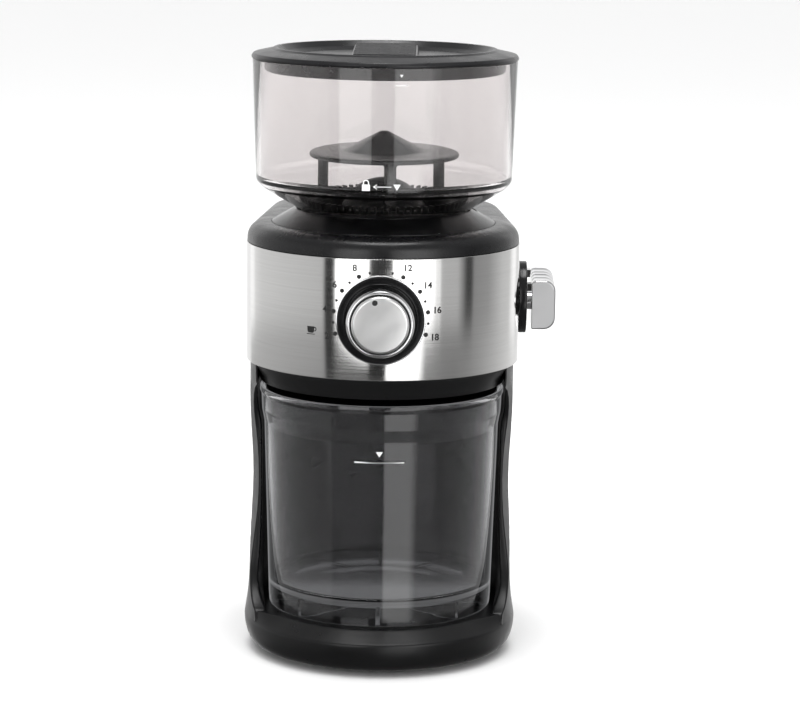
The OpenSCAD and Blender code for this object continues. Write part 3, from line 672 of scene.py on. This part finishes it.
# ------------------------------------------------------------------ hopper lid
lp = [(0.0, 265.6), (41.0, 265.6), (45.0, 267.0), (59.0, 267.0), (59.2, 268.0), (58.3, 269.3), (50.6, 271.0), (49.2, 271.75), (47.9, 271.7), (45.6, 269.4), (43.0, 267.9), (0.0, 267.7)]
lp = [lp[0]] + fillet(lp[1:-1], [0.5, 2, 0.3, 0.5, 0.9, 1.0, 0.6, 0.5, 1.5, 1.2], 5, closed=False) + [lp[-1]]
lid = lathe("hopper_lid_plate", lp, M_LID, "hopper_lid", seg=224, slot="hopper_black", replaces=("hopper_lid",))
lathe("hopper_lid_recess", [(0.0, 267.72), (30.0, 267.76), (42.6, 267.9), (42.6, 267.8), (0.0, 267.6)], M_PEBBLE, "hopper_lid", seg=96, slot="hopper_black")
sp_ = fillet([(52.4, 267.2), (52.4, 261.2), (54.2, 261.2), (54.2, 267.2)], [0, 0.4, 0.4, 0], 3)
lathe("hopper_lid_skirt", sp_, M_LID, "hopper_lid", seg=192, slot="hopper_black")

def rounded_bar(name, x0, x1, y0, y1, z0, z1, mat, body, slot, r=1.0, rt=0.6, clip=None):
    sec = fillet([(x0, y0), (x1, y0), (x1, y1), (x0, y1)], r, 5)
    rings = []
    for z, g in ((z0, 0), (z1 - rt, 0), (z1 - rt * 0.3, rt * 0.3), (z1, rt)):
        cxm, cym = (x0 + x1) / 2, (y0 + y1) / 2
        hx, hy = (x1 - x0) / 2, (y1 - y0) / 2
        rings.append([(cxm + (x - cxm) * (hx - g) / hx, cym + (y - cym) * (hy - g) / hy, z) for x, y in sec])
    return rings_mesh(name, rings, mat, body, slot=slot)

rounded_bar("lid_grip_bar", -14.5, 14.5, -40, 40, 267.6, 270.5, M_LID, "hopper_lid", "hopper_black", 3.0, 0.8)
for i in range(17):
    y = -37.5 + i * 4.4
    rounded_bar(f"lid_grip_rib_{i+1}", -13.6, 13.6, y, y + 2.0, 270.3, 271.5, M_LID, "hopper_lid", "hopper_black", 0.8, 0.5)

# ------------------------------------------------------------------ grounds container
cp = [(0.0, 29.6), (48.0, 29.6), (48.4, 29.0), (48.4, 20.85), (50.1, 20.85), (50.4, 25.0), (52.7, 104.0), (53.75, 109.5), (54.1, 116.8), (54.8, 118.4), (54.8, 120.3), (53.3, 120.4), (52.65, 118.2), (52.3, 110.2), (50.8, 104.8), (48.75, 33.2), (47.0, 31.5), (0.0, 31.5)]
cp = [cp[0]] + fillet(cp[1:-1], [0.3, 0.3, 0.3, 0.6, 2.0, 4.0, 3.0, 0.8, 0.5, 0.5, 0.5, 0.8, 3.0, 4.0, 1.8, 1.6], 5, closed=False) + [cp[-1]]
cup = lathe("container_shell", cp, M_CUP, "container", seg=224, slot="container_smoke", sharp=50, replaces=("container",))
v, f = [], []
for i in range(8):
    a = radians(i * 45)
    ca, sa = cos(a), sin(a)
    f += box_faces(len(v))
    v += [(ca * x - sa * y, sa * x + ca * y, z) for z in (21.4, 29.65) for x, y in ((20, -0.9), (48.45, -0.9), (48.45, 0.9), (20, 0.9))]
finish_mesh("container_foot_ribs", v, f, M_CUP, "container", "container_smoke")
# container lid: plate and deep inner skirt, with the grounds inlet
cl = fillet([(0.001, 117.6), (52.1, 117.6), (52.1, 119.9), (0.001, 119.9)], [0, 0.4, 0.4, 0], 3)
clid = lathe("container_lid_plate", [(0.0, 117.6)] + cl[1:-1] + [(0.0, 119.9)], M_GLOSS, "container", seg=160, slot="container_lid_black")
boolean(clid, boxes_cut([(-48, -11, 114, -32, 11, 124)]))
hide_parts("container_lid")
cs = fillet([(48.6, 117.8), (48.6, 102.6), (49.9, 102.6), (49.9, 117.8)], [0, 0.4, 0.4, 0], 3)
lathe("container_lid_skirt", cs, M_GLOSS, "container", seg=160, slot="container_lid_black")

# ------------------------------------------------------------------ dial
bz = fillet([(8.3, -54.0), (17.9, -54.0), (17.9, -58.0), (19.0, -58.0), (19.0, -62.4), (18.4, -62.9), (16.0, -62.9), (15.5, -62.5), (15.5, -61.6), (8.3, -61.6)], [0, 0, 0, 0, 0.3, 0.3, 0.3, 0.3, 0, 0], 3)
lathe("dial_bezel_ring", bz, M_GLOSS, "root", seg=160, axis="Y", center=(0, DZ), slot="housing_black", replaces=("dial_bezel",))
tr = fillet([(18.75, -61.9), (19.35, -61.9), (19.35, -62.5), (18.75, -62.75)], 0.18, 3)
lathe("dial_bezel_trim", tr, M_CHROME, "root", seg=160, axis="Y", center=(0, DZ), slot="chrome")
kn = [(3.6, -51.0), (8.0, -51.0), (8.0, -62.2), (14.4, -62.2), (14.7, -62.5), (14.7, -72.0), (14.25, -73.2), (13.7, -73.6), (13.1, -73.3), (12.75, -72.4), (12.75, -64.2), (3.6, -64.2)]
kn = fillet(kn, [0, 0.2, 0.2, 0.2, 0.2, 0.6, 0.5, 0.4, 0.4, 0.3, 0.2, 0], 4)
lathe("dial_knob_ring", kn, M_CHROME, "dial", seg=160, axis="Y", center=(0, DZ), slot="chrome", replaces=("dial_knob",))
bt = [(0.0, -76.0), (7.0, -75.96), (11.3, -75.86), (11.85, -75.6), (12.25, -75.1), (12.4, -74.2), (12.4, -68.6), (6.7, -68.6), (6.7, -71.4), (4.5, -71.4), (4.5, -68.6), (3.5, -68.6), (3.5, -52.7), (0.0, -52.7)]
bt = [bt[0]] + fillet(bt[1:-1], [0, 0.6, 0.5, 0.4, 0.4, 0.3, 0.2, 0.2, 0.2, 0.2, 0.2, 0.2], 4, closed=False) + [bt[-1]]
lathe("start_button_cap", bt, M_BUTTON, "start_button", seg=128, axis="Y", center=(0, DZ), slot="chrome", replaces=("start_button",))

def disc_decal(name, x, z, r, y0, y1, mat, body, slot, seg=32):
    v = [(x + r * cos(2 * pi * i / seg), y, z + r * sin(2 * pi * i / seg)) for y in (y0, y1) for i in range(seg)]
    f = [tuple(range(seg)), tuple(range(seg, 2 * seg))] + [(i, (i + 1) % seg, seg + (i + 1) % seg, seg + i) for i in range(seg)]
    return finish_mesh(name, v, f, mat, body, slot)

pa = radians(-13.55)
disc_decal("button_pointer_dot", 10.0 * sin(pa), DZ + 10.0 * cos(pa), 1.2, -75.9, -76.03, M_PRINT_BLACK, "start_button", "housing_black")

# ------------------------------------------------------------------ printing on the band
def wrap(verts, r, rad_sign=1):
    """(u, v, h) on the flat -> on the round front of radius r: u along the circumference, v up, h out."""
    out = []
    for u, vv, h in verts:
        a = u / r
        out.append(((r + h) * sin(a), -(r + h) * cos(a), vv))
    return out

def text_mesh(txt, size, cx_, cz_, name, mat, body, slot, r, th=0.05, bold=0.0):
    cu = bpy.data.curves.new(name, "FONT")
    cu.body = txt
    cu.size = size
    cu.align_x = "CENTER"
    cu.align_y = "CENTER"
    cu.extrude = th / 2
    cu.offset = bold
    cu.resolution_u = 4
    ob = bpy.data.objects.new(name + "_t", cu)
    COL.objects.link(ob)
    dg = bpy.context.evaluated_depsgraph_get()
    me = bpy.data.meshes.new_from_object(ob.evaluated_get(dg))
    vs = [(p.co.x + cx_, p.co.y + cz_, p.co.z + th / 2 - 0.01) for p in me.vertices]
    fs = [tuple(p.vertices) for p in me.polygons]
    bpy.data.objects.remove(ob)
    bpy.data.meshes.remove(me)
    return finish_mesh(name, wrap(vs, r), fs, mat, body, slot)

def arc_pos(r, ang):
    return r * sin(ang), DZ + r * cos(ang)

def flat_disc(cx_, cz_, r, th=0.05, seg=24, ri=0.0):
    v, f = [], []
    for h in (-0.02, th):
        v += [(cx_ + r * cos(2 * pi * i / seg), cz_ + r * sin(2 * pi * i / seg), h) for i in range(seg)]
    f = [tuple(range(seg)), tuple(range(seg, 2 * seg))] + [(i, (i + 1) % seg, seg + (i + 1) % seg, seg + i) for i in range(seg)]
    return v, f

bv, bf = [], []
for n in range(2, 19):
    a = radians((n - 10) * 13.55)
    x, z = arc_pos(20.9, a)
    v, f = flat_disc(x, z, 0.98 if n % 2 == 0 else 0.58)
    k = len(bv)
    bv += v
    bf += [tuple(i + k for i in q) for q in f]
finish_mesh("dial_scale_dots", wrap(bv, 61.0), bf, M_PRINT_BLACK, "root", "housing_black")
for n in range(2, 19, 2):
    a = radians((n - 10) * 13.55)
    x, z = arc_pos(25.0 if n < 10 else 25.2, a)
    text_mesh(str(n), 3.95, x, z, f"dial_number_{n}", M_PRINT_BLACK, "root", "housing_black", 61.0, th=0.16, bold=0.10)

# ------------------------------------------------------------------ side knob
KZ = DZ + 1.6
kd = fillet([(4.3, 58.5), (8.6, 58.5), (8.6, 61.0), (16.1, 61.0), (16.1, 64.0), (15.7, 64.3), (4.3, 64.3)], [0, 0, 0, 0.3, 0.35, 0.35, 0], 3)
disc = lathe("knob_disc_plate", kd, M_GLOSS, "root", seg=128, axis="X", center=(0, KZ), slot="housing_black", replaces=("knob_disc",))
def grip_section(y, inset):
    t = y / 15.75
    up = 10.9 + 0.9 * (t + 1) - (0.45 * abs(sin(2.5 * pi * t)) ** 0.6 if abs(t) < 0.8 else 0.0)
    dn = 10.9
    x0, x1 = 66.3 + inset * 0.4, 76.9 - inset
    sec = fillet([(x0, -dn + inset), (x1, -dn + inset), (x1, up - inset), (x0, up - inset)], [0.5, 5.2, 4.6, 2.0], 6)
    return [(x, y, DZ + 0.2 + z) for x, z in sec]
secs = []
for y, ins_ in [(-15.75, 0.7), (-15.6, 0.35), (-15.2, 0.1), (-14.7, 0.0)] + [(-14.7 + 29.4 * i / 60, 0.0) for i in range(1, 60)] + [(14.7, 0.0), (15.2, 0.12), (15.6, 0.45), (15.75, 0.9)]:
    secs.append(grip_section(y, ins_))
grip = rings_mesh("grind_knob_grip", secs, M_CHROME, "grind_knob", slot="chrome", sharp=40, replaces=("grind_knob",))
grip.data.materials.append(M_SATIN)
for pl in grip.data.polygons:
    if abs(pl.normal.y) > 0.8:
        pl.material_index = 1
for pl in grip.data.polygons:
    if abs(pl.normal.y) > 0.985:
        pl.use_smooth = False
def small_box(name, x0, y0, z0, x1, y1, z1, mat, slot):
    v = [(x, y, z) for z in (z0, z1) for x, y in ((x0, y0), (x1, y0), (x1, y1), (x0, y1))]
    return finish_mesh(name, v, box_faces(0), mat, "grind_knob", slot)
link = small_box("grind_knob_link", 64.4, 8.0, DZ + 9.2, 66.5, 15.4, DZ + 12.6, M_CHROME, "chrome")
tab = small_box("grind_knob_tab", 64.4, -13.4, DZ + 6.2, 66.5, -8.0, DZ + 9.4, M_BLACK, "housing_black")
link.visible_glossy = tab.visible_glossy = False
boss = lathe("grind_knob_boss", [(0.0, 64.4), (2.0, 64.4), (2.0, 66.5), (0.0, 66.5)], M_BLACK, "grind_knob", seg=64, axis="X", center=(0, DZ), slot="housing_black")
for ob in (disc, grip, boss):
    ob.visible_glossy = False

# ------------------------------------------------------------------ marks on the hopper and the container (generic pictograms only)
def hopper_r_at(z):
    return 56.95 + (58.75 - 56.95) * (z - 213.2) / (267.1 - 213.2)

def poly_decal(name, polys, zref, mat, body, slot, rfun, th=0.06):
    """Flat outlines [(u, v)] in mm, wrapped on the wall as thin closed plates; long edges are split."""
    V, F = [], []
    for poly in polys:
        pts = []
        for i, p in enumerate(poly):
            q = poly[(i + 1) % len(poly)]
            m = max(1, int(hypot(q[0] - p[0], q[1] - p[1]) / 1.2))
            pts += [(p[0] + (q[0] - p[0]) * j / m, p[1] + (q[1] - p[1]) * j / m) for j in range(m)]
        n = len(pts)
        k = len(V)
        for h in (0.015, th):
            for u, vv in pts:
                r = rfun(vv) + h
                a = u / rfun(vv)
                V.append((r * sin(a), -r * cos(a), vv))
        F.append(tuple(k + i for i in range(n)))
        F.append(tuple(k + n + i for i in range(n)))
        F += [(k + i, k + (i + 1) % n, k + n + (i + 1) % n, k + n + i) for i in range(n)]
    return finish_mesh(name, V, F, mat, body, slot)

def circ(cx_, cz_, r, n=20, a0=0.0, a1=2 * pi):
    return [(cx_ + r * cos(a0 + (a1 - a0) * i / n), cz_ + r * sin(a0 + (a1 - a0) * i / n)) for i in range(n if a1 - a0 >= 2 * pi - 1e-6 else n + 1)]

def px_u(x): return (x - 381.0) * 0.4436 * 1.0
u_lock, u_tri = px_u(365.3), px_u(395.2)
zl = 216.2
lock = [[(u_lock - 1.75, zl - 1.6), (u_lock + 1.75, zl - 1.6), (u_lock + 1.75, zl + 1.2), (u_lock - 1.75, zl + 1.2)],
        circ(u_lock, zl + 1.9, 1.35, 14, 0, pi) + list(reversed(circ(u_lock, zl + 1.9, 0.85, 14, 0, pi)))]
lock.append([(u_lock - 1.35, zl + 1.1), (u_lock - 0.85, zl + 1.1), (u_lock - 0.85, zl + 1.95), (u_lock - 1.35, zl + 1.95)])
lock.append([(u_lock + 0.85, zl + 1.1), (u_lock + 1.35, zl + 1.1), (u_lock + 1.35, zl + 1.95), (u_lock + 0.85, zl + 1.95)])
arrow = [[(u_lock + 3.4, zl + 0.05), (u_tri - 2.4, zl + 0.05), (u_tri - 2.4, zl + 0.35), (u_lock + 3.4, zl + 0.35)],
         [(u_lock + 3.0, zl + 0.2), (u_lock + 4.6, zl + 1.3), (u_lock + 4.8, zl + 1.05), (u_lock + 3.5, zl + 0.2), (u_lock + 4.8, zl - 0.65), (u_lock + 4.6, zl - 0.9)]]
tri = [[(u_tri - 1.6, zl + 1.3), (u_tri, zl - 1.4), (u_tri + 1.6, zl + 1.3)]]
poly_decal("hopper_lock_marks", lock + arrow + tri, 0, M_PRINT_WHITE, "hopper", "hopper_clear", hopper_r_at)
u_max = px_u(398.5)
poly_decal("hopper_fill_mark", [[(u_max - 0.8, 264.4), (u_max, 263.1), (u_max + 0.8, 264.4)], [(u_max - 2.9, 259.6), (u_max + 2.9, 259.6), (u_max + 2.9, 259.95), (u_max - 2.9, 259.95)]],
           0, M_PRINT_WHITE, "hopper", "hopper_clear", hopper_r_at)

def cup_r_at(z):
    return 50.4 + (52.7 - 50.4) * (z - 25.0) / (104.0 - 25.0)
poly_decal("container_fill_line", [[(-10.9, 94.9), (10.9, 94.9), (10.9, 95.5), (-10.9, 95.5)], [(-1.5, 100.0), (0, 97.6), (1.5, 100.0)]], 0, M_PRINT_WHITE, "container", "container_smoke", cup_r_at)

# cup pictogram and start symbol on the band
def band_r(z): return 61.0
cu_, cz_ = -31.3, 153.6
cupp = [[(cu_ - 2.1, cz_ + 1.6), (cu_ + 1.5, cz_ + 1.6), (cu_ + 1.3, cz_ - 0.6), (cu_ + 0.8, cz_ - 1.2), (cu_ - 1.4, cz_ - 1.2), (cu_ - 1.9, cz_ - 0.6)],
        [(cu_ - 2.3, cz_ - 1.9), (cu_ + 1.7, cz_ - 1.9), (cu_ + 1.7, cz_ - 1.6), (cu_ - 2.3, cz_ - 1.6)],
        circ(cu_ + 1.5, cz_ + 0.5, 1.0, 10, -pi / 2, pi / 2) + list(reversed(circ(cu_ + 1.5, cz_ + 0.5, 0.6, 10, -pi / 2, pi / 2)))]
poly_decal("cup_pictogram", cupp, 0, M_PRINT_BLACK, "root", "housing_black", band_r)
sz = 135.4 + 0.9
st = [circ(0, sz, 1.7, 28, radians(125), radians(415)) + list(reversed(circ(0, sz, 1.35, 28, radians(125), radians(415)))),
      [(-0.2, sz + 0.3), (0.2, sz + 0.3), (0.2, sz + 1.9), (-0.2, sz + 1.9)]]
poly_decal("start_pictogram", st, 0, M_PRINT_BLACK, "root", "housing_black", band_r)

# ------------------------------------------------------------------ stage: floor, world, lights
fl = bpy.data.meshes.new("floor")
s = 6.0
fl.from_pydata([(-s, -s, 0), (s, -s, 0), (s, s, 0), (-s, s, 0)], [], [(0, 1, 2, 3)])
floor = bpy.data.objects.new("floor", fl)
COL.objects.link(floor)
m, t, b = nt_new("m_floor")
b.inputs["Base Color"].default_value = (0.93, 0.93, 0.93, 1)
b.inputs["Roughness"].default_value = 0.9
b.inputs["Specular IOR Level"].default_value = 0.0
fl.materials.append(m)
floor.visible_glossy = False

w = bpy.data.worlds.new("studio")
scene.world = w
w.use_nodes = True
t = w.node_tree
t.nodes.clear()
out = t.nodes.new("ShaderNodeOutputWorld")
bg = t.nodes.new("ShaderNodeBackground")
tc = t.nodes.new("ShaderNodeTexCoord")
sx = t.nodes.new("ShaderNodeSeparateXYZ")
t.links.new(tc.outputs["Generated"], sx.inputs[0])
neg = t.nodes.new("ShaderNodeMath"); neg.operation = "MULTIPLY"; neg.inputs[1].default_value = -1.0
t.links.new(sx.outputs["Y"], neg.inputs[0])
at = t.nodes.new("ShaderNodeMath"); at.operation = "ARCTAN2"
t.links.new(sx.outputs["X"], at.inputs[0])
t.links.new(neg.outputs[0], at.inputs[1])

def az_ramp(stops):
    mr = t.nodes.new("ShaderNodeMapRange")
    mr.inputs["From Min"].default_value = -pi
    mr.inputs["From Max"].default_value = pi
    t.links.new(at.outputs[0], mr.inputs["Value"])
    r = t.nodes.new("ShaderNodeValToRGB")
    el = r.color_ramp.elements
    while len(el) > 1:
        el.remove(el[-1])
    for i, (a, v_) in enumerate(stops):
        p = (a + 180.0) / 360.0
        e = el[0] if i == 0 else el.new(p)
        e.position = p
        q = v_ / 4.0
        e.color = (q, q, q, 1)
    t.links.new(mr.outputs[0], r.inputs[0])
    return r.outputs[0]

BR = 2.35
hi_ramp = az_ramp([(-180, 0.98), (-152, 0.95), (-145, 1.15), (-139, 1.12), (-134, 0.84), (-122, 0.72), (-50, 0.56), (-48, 0.03), (-40, 0.03), (-38.4, BR), (-11.5, BR), (-10, 0.04), (8.5, 0.04), (10, BR), (40, BR), (47, 0.9),
                   (49, 1.25), (50.5, 0.52), (66, 0.52), (75, 0.05), (80, 0.05), (83, 0.28), (100, 0.33), (120, 0.60), (134, 0.66), (139, 1.0), (144, 1.15), (149, 1.1), (155, 0.76), (180, 0.98)])
lo_ramp = az_ramp([(-180, 0.95), (-152, 0.9), (-146, 0.5), (-50, 0.36), (-48, 0.03), (-40, 0.03), (-38, 0.05), (-12, 0.05), (-10, 0.015), (3, 0.015), (5, BR), (30, BR), (38, 0.25), (66, 0.22), (90, 0.35), (110, 0.5), (148, 0.8), (180, 0.95)])
# below this height of view the left softbox ends
mz = t.nodes.new("ShaderNodeMapRange")
mz.inputs["From Min"].default_value = -sin(radians(12.0))
mz.inputs["From Max"].default_value = -sin(radians(10.6))
t.links.new(sx.outputs["Z"], mz.inputs["Value"])
mixn = t.nodes.new("ShaderNodeMix"); mixn.data_type = "RGBA"
t.links.new(mz.outputs[0], mixn.inputs["Factor"])
t.links.new(lo_ramp, mixn.inputs["A"])
t.links.new(hi_ramp, mixn.inputs["B"])
# far below: the shaded table round the camera stand
mb = t.nodes.new("ShaderNodeMapRange")
mb.inputs["From Min"].default_value = -sin(radians(34))
mb.inputs["From Max"].default_value = -sin(radians(22))
t.links.new(sx.outputs["Z"], mb.inputs["Value"])
mixb = t.nodes.new("ShaderNodeMix"); mixb.data_type = "RGBA"
t.links.new(mb.outputs[0], mixb.inputs["Factor"])
q = 0.16 / 4
mixb.inputs["A"].default_value = (q, q, q, 1)
t.links.new(mixn.outputs["Result"], mixb.inputs["B"])
# the upper room is dim, with one softbox overhead
mt = t.nodes.new("ShaderNodeMapRange")
mt.inputs["From Min"].default_value = sin(radians(22))
mt.inputs["From Max"].default_value = sin(radians(38))
t.links.new(sx.outputs["Z"], mt.inputs["Value"])
mix2 = t.nodes.new("ShaderNodeMix"); mix2.data_type = "RGBA"
t.links.new(mt.outputs[0], mix2.inputs["Factor"])
t.links.new(mixb.outputs["Result"], mix2.inputs["A"])
q = 0.42 / 4
mix2.inputs["B"].default_value = (q, q, q, 1)
mo = t.nodes.new("ShaderNodeMapRange")
mo.inputs["From Min"].default_value = sin(radians(72))
mo.inputs["From Max"].default_value = sin(radians(78))
t.links.new(sx.outputs["Z"], mo.inputs["Value"])
mix3 = t.nodes.new("ShaderNodeMix"); mix3.data_type = "RGBA"
t.links.new(mo.outputs[0], mix3.inputs["Factor"])
t.links.new(mix2.outputs["Result"], mix3.inputs["A"])
q = 7.0 / 4
mix3.inputs["B"].default_value = (q, q, q, 1)
t.links.new(mix3.outputs["Result"], bg.inputs["Color"])
bg.inputs["Strength"].default_value = 4.0
bg2 = t.nodes.new("ShaderNodeBackground")
bg2.inputs["Color"].default_value = (1, 1, 1, 1)
bg2.inputs["Strength"].default_value = 1.05
lpn = t.nodes.new("ShaderNodeLightPath")
mxs = t.nodes.new("ShaderNodeMixShader")
t.links.new(lpn.outputs["Is Camera Ray"], mxs.inputs[0])
t.links.new(bg.outputs[0], mxs.inputs[1])
t.links.new(bg2.outputs[0], mxs.inputs[2])
t.links.new(mxs.outputs[0], out.inputs[0])

def area(name, loc, target, size, power, size_y=None):
    l = bpy.data.lights.new(name, "AREA")
    l.energy = power
    l.shape = "RECTANGLE"
    l.size = size
    l.size_y = size_y or size
    o = bpy.data.objects.new(name, l)
    COL.objects.link(o)
    o.location = loc
    d = Vector(target) - Vector(loc)
    o.rotation_euler = d.to_track_quat("-Z", "Y").to_euler()
    o.visible_glossy = False
    return o

area("top_light", (0.0, -0.1, 1.6), (0, 0, 0), 2.2, 26.0)
